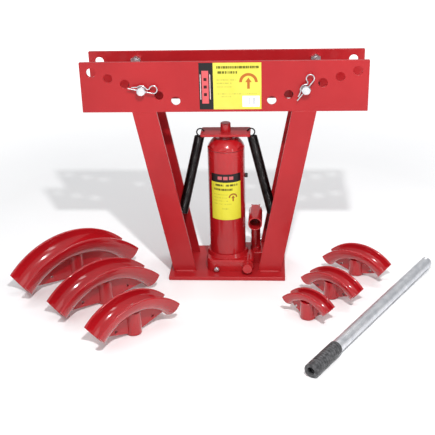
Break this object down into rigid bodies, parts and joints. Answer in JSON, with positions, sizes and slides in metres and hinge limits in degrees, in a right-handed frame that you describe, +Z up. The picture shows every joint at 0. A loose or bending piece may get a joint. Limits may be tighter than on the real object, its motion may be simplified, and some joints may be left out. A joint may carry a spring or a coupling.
{
  "type": "hydraulic tube bender",
  "caption": "Steel press frame with a hand-pumped hydraulic jack, roller pins in falling rows of holes, grooved shoes for bending tube, and a slotted pump handle.",
  "frame": {"origin": "centre of the base plate's underside, resting on the floor", "axes": "+X to the operator's right, along the long plates; +Y away from the operator, along the roller pins; +Z up, along the ram"},
  "size_m": [0.8818, 0.5058, 0.462],
  "materials": {
    "frame_paint": "semi-gloss red enamel",
    "jack_paint": "gloss red enamel",
    "die_enamel": "gloss red enamel over cast iron",
    "plate_label": "satin printed film, yellow and black",
    "jack_label": "satin printed film, yellow and black",
    "zinc": "bright zinc plate",
    "handle_zinc": "bright zinc plate",
    "bare_steel": "machined, oiled",
    "dark_steel": "oiled black oxide",
    "knob_steel": "gloss red enamel",
    "black_steel": "black oxide",
    "ram_chrome": "ground and plated",
    "rubber": "moulded",
    "grip_rubber": "ribbed moulding"
  },
  "bodies": {
    "frame": {"base_plate": "frame_paint", "left_leg": "frame_paint", "right_leg": "frame_paint", "foot_welds": "frame_paint", "front_plate": "frame_paint", "back_plate": "frame_paint", "back_bolts": "zinc", "back_nuts": "zinc", "plate_label": "plate_label", "spring_lugs": "frame_paint", "jack_base": "jack_paint", "base_screws": "zinc", "reservoir_tube": "jack_paint", "tube_gaskets": "rubber", "jack_label": "jack_label", "pressure_cylinder": "bare_steel", "tank_nut": "jack_paint", "rod_seal": "rubber", "pump_cylinder": "jack_paint", "pump_seal": "rubber", "check_ball": "bare_steel", "pump_link": "dark_steel", "link_pins": "zinc", "release_ball": "bare_steel", "safety_plug": "zinc", "safety_ball": "bare_steel", "safety_spring": "bare_steel", "left_spring": "black_steel", "right_spring": "black_steel"},
    "ram": {"ram": "ram_chrome", "piston_seal": "rubber", "ram_head": "jack_paint", "spring_bar": "frame_paint"},
    "left_pin": {"left_pin": "zinc", "left_clip": "zinc"},
    "right_pin": {"right_pin": "zinc", "right_clip": "zinc"},
    "left_roller": {"left_roller": "black_steel"},
    "right_roller": {"right_roller": "black_steel"},
    "pump_lever": {"lever_socket": "jack_paint"},
    "pump_plunger": {"pump_plunger": "ram_chrome", "plunger_pin": "bare_steel"},
    "release_valve": {"release_valve": "knob_steel"},
    "filler_plug": {"filler_plug": "rubber"},
    "die_60": {"die_60": "die_enamel", "die_60_web": "die_enamel"},
    "die_48": {"die_48": "die_enamel", "die_48_web": "die_enamel"},
    "die_42": {"die_42": "die_enamel", "die_42_web": "die_enamel"},
    "die_33": {"die_33": "die_enamel", "die_33_web": "die_enamel"},
    "die_27": {"die_27": "die_enamel", "die_27_web": "die_enamel"},
    "die_21": {"die_21": "die_enamel", "die_21_web": "die_enamel"},
    "handle": {"handle_tube": "handle_zinc", "handle_grip": "grip_rubber"}
  },
  "joints": [
    {"name": "ram_slide", "type": "slide", "parent": "frame", "child": "ram", "axis": [0, 0, 1], "range_m": [0, 0.19], "stiffness_N_per_m": 1400, "springref_m": -0.02, "deforming": ["left_spring", "right_spring"]},
    {"name": "left_pin_turn", "type": "hinge", "parent": "frame", "child": "left_pin", "pos_m": [-0.1596, 0, 0.407], "axis": [0, 1, 0], "continuous": true},
    {"name": "left_roller_turn", "type": "hinge", "parent": "left_pin", "child": "left_roller", "pos_m": [-0.1596, 0, 0.407], "axis": [0, 1, 0], "continuous": true},
    {"name": "right_pin_turn", "type": "hinge", "parent": "frame", "child": "right_pin", "pos_m": [0.1596, 0, 0.407], "axis": [0, 1, 0], "continuous": true},
    {"name": "right_roller_turn", "type": "hinge", "parent": "right_pin", "child": "right_roller", "pos_m": [0.1596, 0, 0.407], "axis": [0, 1, 0], "continuous": true},
    {"name": "lever_hinge", "type": "hinge", "parent": "frame", "child": "pump_lever", "pos_m": [0.06, 0.03, 0.121], "axis": [-1, 0, 0], "range_deg": [0, 36]},
    {"name": "plunger_slide", "type": "slide", "parent": "frame", "child": "pump_plunger", "axis": [0, 0, 1], "range_m": [0, 0.0154]},
    {"name": "release_turn", "type": "hinge", "parent": "frame", "child": "release_valve", "pos_m": [0.0435, -0.06, 0.023], "axis": [0, -1, 0], "range_deg": [0, 360]},
    {"name": "filler_plug_pull", "type": "slide", "parent": "frame", "child": "filler_plug", "axis": [1, 0, 0], "range_m": [0, 0.012]},
    {"name": "die_60_lift", "type": "slide", "parent": "frame", "child": "die_60", "axis": [0, 0, 1], "range_m": [0, 0.15]},
    {"name": "die_48_lift", "type": "slide", "parent": "frame", "child": "die_48", "axis": [0, 0, 1], "range_m": [0, 0.15]},
    {"name": "die_42_lift", "type": "slide", "parent": "frame", "child": "die_42", "axis": [0, 0, 1], "range_m": [0, 0.15]},
    {"name": "die_33_lift", "type": "slide", "parent": "frame", "child": "die_33", "axis": [0, 0, 1], "range_m": [0, 0.15]},
    {"name": "die_27_lift", "type": "slide", "parent": "frame", "child": "die_27", "axis": [0, 0, 1], "range_m": [0, 0.15]},
    {"name": "die_21_lift", "type": "slide", "parent": "frame", "child": "die_21", "axis": [0, 0, 1], "range_m": [0, 0.15]},
    {"name": "handle_lift", "type": "slide", "parent": "frame", "child": "handle", "axis": [0, 0, 1], "range_m": [0, 0.15]}
  ],
  "couplings": [
    {"joint": "plunger_slide", "follows": "lever_hinge", "m_per_rad": 0.0243}
  ]
}
